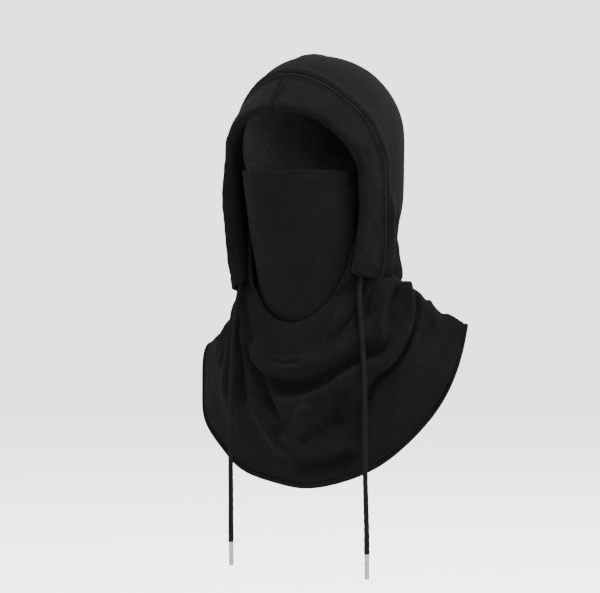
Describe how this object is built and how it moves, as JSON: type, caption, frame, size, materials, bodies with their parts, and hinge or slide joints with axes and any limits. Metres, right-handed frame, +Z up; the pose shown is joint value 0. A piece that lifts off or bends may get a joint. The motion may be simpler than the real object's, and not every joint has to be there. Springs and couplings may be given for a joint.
{
  "type": "balaclava",
  "caption": "Fleece balaclava: a lined hood with a drawcord brim, a pull-down face mask and a cape over the neck and shoulders.",
  "frame": {"origin": "the point of the crown's lining that rests on the top of the wearer's head", "axes": "+Z up along the wearer's neck, -Y the way the wearer faces, +X to the wearer's left"},
  "size_m": [0.314, 0.2244, 0.5346],
  "materials": {
    "outer_fleece": "brushed matte",
    "lining_fleece": "deep pile",
    "mask_fabric": "smooth matte",
    "elastic": "ribbed",
    "cord_knit": "knitted",
    "aglet_metal": "satin"
  },
  "bodies": {
    "hood_and_cape": {"hood_left": "outer_fleece", "hood_right": "outer_fleece", "hood_lining_left": "lining_fleece", "hood_lining_right": "lining_fleece", "crown_seam": "outer_fleece", "brim_left": "outer_fleece", "brim_right": "outer_fleece", "seam_welt_left": "outer_fleece", "seam_welt_right": "outer_fleece", "chin_band": "outer_fleece", "cape_front": "outer_fleece", "cape_back": "outer_fleece", "cape_hem_front": "outer_fleece", "cape_hem_back": "outer_fleece", "nape_elastic": "elastic", "drawcord_held": "cord_knit"},
    "mask": {"mask_front": "mask_fabric", "mask_lining": "mask_fabric", "mask_top_hem": "mask_fabric"},
    "cord_end_left": {"drawcord_left": "cord_knit", "aglet_left": "aglet_metal"},
    "cord_end_right": {"drawcord_right": "cord_knit", "aglet_right": "aglet_metal"}
  },
  "joints": [
    {"name": "mask_pull_down", "type": "slide", "parent": "hood_and_cape", "child": "mask", "axis": [0, 0.2436, -0.9699], "range_m": [0, 0.1]},
    {"name": "cord_pull_left", "type": "slide", "parent": "hood_and_cape", "child": "cord_end_left", "axis": [-0.15, -0.2, -0.9682], "range_m": [0, 0.018]},
    {"name": "cord_pull_right", "type": "slide", "parent": "hood_and_cape", "child": "cord_end_right", "axis": [0.15, -0.15, -0.9772], "range_m": [0, 0.018]}
  ]
}
